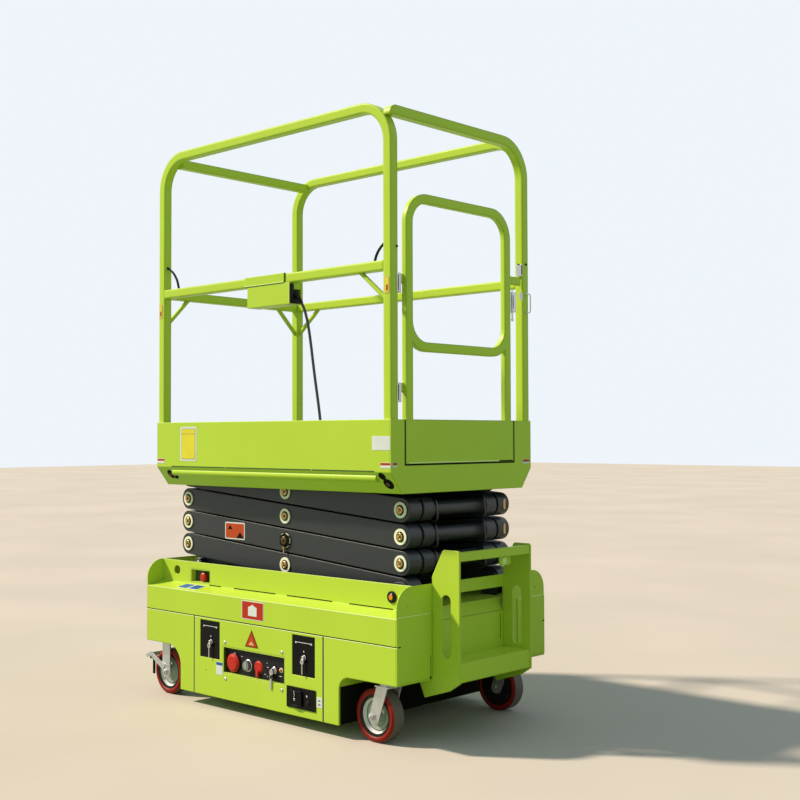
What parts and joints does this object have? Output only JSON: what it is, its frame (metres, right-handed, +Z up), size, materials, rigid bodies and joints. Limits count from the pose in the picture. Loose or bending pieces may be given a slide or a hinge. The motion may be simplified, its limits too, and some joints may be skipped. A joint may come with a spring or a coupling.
{
  "type": "push-around scissor lift",
  "caption": "Compact lift: wheeled chassis with ladder, folded scissor stack raised by a cylinder, railed platform with a swing gate and a control box.",
  "frame": {"origin": "on the ground at the middle of the machine's box, parked with the platform down", "axes": "+X to the entry end with ladder and gate, -Y to the side with the ground controls, +Z up"},
  "size_m": [1.392, 0.719, 1.936],
  "materials": {
    "lime_paint": "satin lime green paint",
    "charcoal_paint": "satin charcoal paint",
    "zinc": "zinc plated steel",
    "steel": "bare steel",
    "red_wheel": "red moulded wheel body",
    "grey_tyre": "grey non-marking rubber",
    "black_plastic": "black glossy plastic",
    "matt_black": "black matt plastic",
    "red_plastic": "red plastic",
    "amber": "amber lens",
    "tray_grey": "light grey painted recess",
    "pin_cream": "cream retaining rings",
    "tread_steel": "bare checker plate",
    "black_rubber": "cable sheath",
    "hidden_mass": "plain blocks, never seen"
  },
  "bodies": {
    "chassis": {"belly_pan": "lime_paint", "scissor_bed": "lime_paint", "side_covers": "lime_paint", "service_panels": "lime_paint", "panel_windows": "black_plastic", "control_trays": "tray_grey", "red_buttons": "red_plastic", "ground_switches": "matt_black", "charging_socket": "black_plastic", "amber_lamps": "amber", "end_plates": "lime_paint", "batteries_and_pump": "hidden_mass", "ladder": "lime_paint", "wheel_mounts": "zinc", "brake_pedals": "zinc", "bed_brackets": "charcoal_paint"},
    "swivel_near": {"swivel_fork_near": "zinc"},
    "swivel_far": {"swivel_fork_far": "zinc"},
    "wheel_back_near": {"tyre_back_near": "grey_tyre", "hub_back_near": "red_wheel"},
    "wheel_back_far": {"tyre_back_far": "grey_tyre", "hub_back_far": "red_wheel"},
    "wheel_entry_near": {"tyre_entry_near": "grey_tyre", "hub_entry_near": "red_wheel"},
    "wheel_entry_far": {"tyre_entry_far": "grey_tyre", "hub_entry_far": "red_wheel"},
    "outer_1": {"outer_arms_1": "charcoal_paint", "scissor_pins_1": "pin_cream"},
    "outer_2": {"outer_arms_2": "charcoal_paint", "scissor_pins_2": "pin_cream"},
    "outer_3": {"outer_arms_3": "charcoal_paint", "scissor_pins_3": "pin_cream"},
    "outer_4": {"outer_arms_4": "charcoal_paint", "scissor_pins_4": "pin_cream", "upper_rollers": "steel"},
    "inner_1": {"inner_arms_1": "charcoal_paint", "lower_rollers": "steel"},
    "inner_2": {"inner_arms_2": "charcoal_paint"},
    "inner_3": {"inner_arms_3": "charcoal_paint"},
    "inner_4": {"inner_arms_4": "charcoal_paint"},
    "barrel": {"lift_cylinder_barrel": "charcoal_paint"},
    "rod": {"lift_cylinder_rod": "steel"},
    "platform": {"platform_floor": "charcoal_paint", "tread_plate": "tread_steel", "platform_sides": "lime_paint", "platform_ends": "lime_paint", "deck_brackets": "charcoal_paint", "guard_loop_near": "lime_paint", "guard_loop_far": "lime_paint", "guard_frame_entry": "lime_paint", "back_bars": "lime_paint", "mid_rails": "lime_paint", "hinge_pins": "steel", "control_box_holder": "lime_paint", "control_box": "matt_black", "control_cable": "black_rubber", "cable_gland": "matt_black"},
    "gate": {"gate_frame": "lime_paint", "gate_latch": "steel"}
  },
  "joints": [
    {"name": "lift", "type": "hinge", "parent": "chassis", "child": "outer_1", "pos_m": [0.496, 0, 0.452], "axis": [0, 1, 0], "range_deg": [0, 49.4]},
    {"name": "centre_pin_1", "type": "hinge", "parent": "outer_1", "child": "inner_1", "pos_m": [-0.03, 0, 0.4925], "axis": [0, 1, 0], "range_deg": [-98.9, 0]},
    {"name": "end_pin_1", "type": "hinge", "parent": "inner_1", "child": "outer_2", "pos_m": [0.496, 0, 0.533], "axis": [0, 1, 0], "range_deg": [0, 98.9]},
    {"name": "centre_pin_2", "type": "hinge", "parent": "outer_2", "child": "inner_2", "pos_m": [-0.03, 0, 0.5735], "axis": [0, 1, 0], "range_deg": [-98.9, 0]},
    {"name": "end_pin_2", "type": "hinge", "parent": "inner_2", "child": "outer_3", "pos_m": [0.496, 0, 0.614], "axis": [0, 1, 0], "range_deg": [0, 98.9]},
    {"name": "centre_pin_3", "type": "hinge", "parent": "outer_3", "child": "inner_3", "pos_m": [-0.03, 0, 0.6545], "axis": [0, 1, 0], "range_deg": [-98.9, 0]},
    {"name": "end_pin_3", "type": "hinge", "parent": "inner_3", "child": "outer_4", "pos_m": [0.496, 0, 0.695], "axis": [0, 1, 0], "range_deg": [0, 98.9]},
    {"name": "centre_pin_4", "type": "hinge", "parent": "outer_4", "child": "inner_4", "pos_m": [-0.03, 0, 0.7355], "axis": [0, 1, 0], "range_deg": [-98.9, 0]},
    {"name": "platform_pin", "type": "hinge", "parent": "inner_4", "child": "platform", "pos_m": [0.496, 0, 0.776], "axis": [0, 1, 0], "range_deg": [0, 49.5]},
    {"name": "barrel_pin", "type": "hinge", "parent": "chassis", "child": "barrel", "pos_m": [0.41, 0, 0.437], "axis": [0, 1, 0], "range_deg": [0, 49.2]},
    {"name": "rod_slide", "type": "slide", "parent": "barrel", "child": "rod", "axis": [-0.9505, 0, 0.3107], "range_m": [0, 0.185]},
    {"name": "swivel_near", "type": "hinge", "parent": "chassis", "child": "swivel_near", "pos_m": [0.495, -0.292, 0.18], "axis": [0, 0, 1], "continuous": true},
    {"name": "spin_entry_near", "type": "hinge", "parent": "swivel_near", "child": "wheel_entry_near", "pos_m": [0.455, -0.292, 0.08], "axis": [0, 1, 0], "continuous": true},
    {"name": "spin_back_near", "type": "hinge", "parent": "chassis", "child": "wheel_back_near", "pos_m": [-0.578, -0.292, 0.08], "axis": [0, 1, 0], "continuous": true},
    {"name": "swivel_far", "type": "hinge", "parent": "chassis", "child": "swivel_far", "pos_m": [0.495, 0.292, 0.18], "axis": [0, 0, 1], "continuous": true},
    {"name": "spin_entry_far", "type": "hinge", "parent": "swivel_far", "child": "wheel_entry_far", "pos_m": [0.455, 0.292, 0.08], "axis": [0, 1, 0], "continuous": true},
    {"name": "spin_back_far", "type": "hinge", "parent": "chassis", "child": "wheel_back_far", "pos_m": [-0.578, 0.292, 0.08], "axis": [0, 1, 0], "continuous": true},
    {"name": "gate_hinge", "type": "hinge", "parent": "platform", "child": "gate", "pos_m": [0.531, -0.2872, 1.2], "axis": [0, 0, 1], "range_deg": [0, 80]}
  ],
  "couplings": [
    {"joint": "centre_pin_1", "follows": "lift", "ratio": -2},
    {"joint": "end_pin_1", "follows": "lift", "ratio": 2},
    {"joint": "centre_pin_2", "follows": "lift", "ratio": -2},
    {"joint": "end_pin_2", "follows": "lift", "ratio": 2},
    {"joint": "centre_pin_3", "follows": "lift", "ratio": -2},
    {"joint": "end_pin_3", "follows": "lift", "ratio": 2},
    {"joint": "centre_pin_4", "follows": "lift", "ratio": -2},
    {"joint": "platform_pin", "follows": "lift", "ratio": 1},
    {"joint": "barrel_pin", "follows": "lift", "ratio": 0.995},
    {"joint": "rod_slide", "follows": "lift", "m_per_rad": 0.2143}
  ]
}
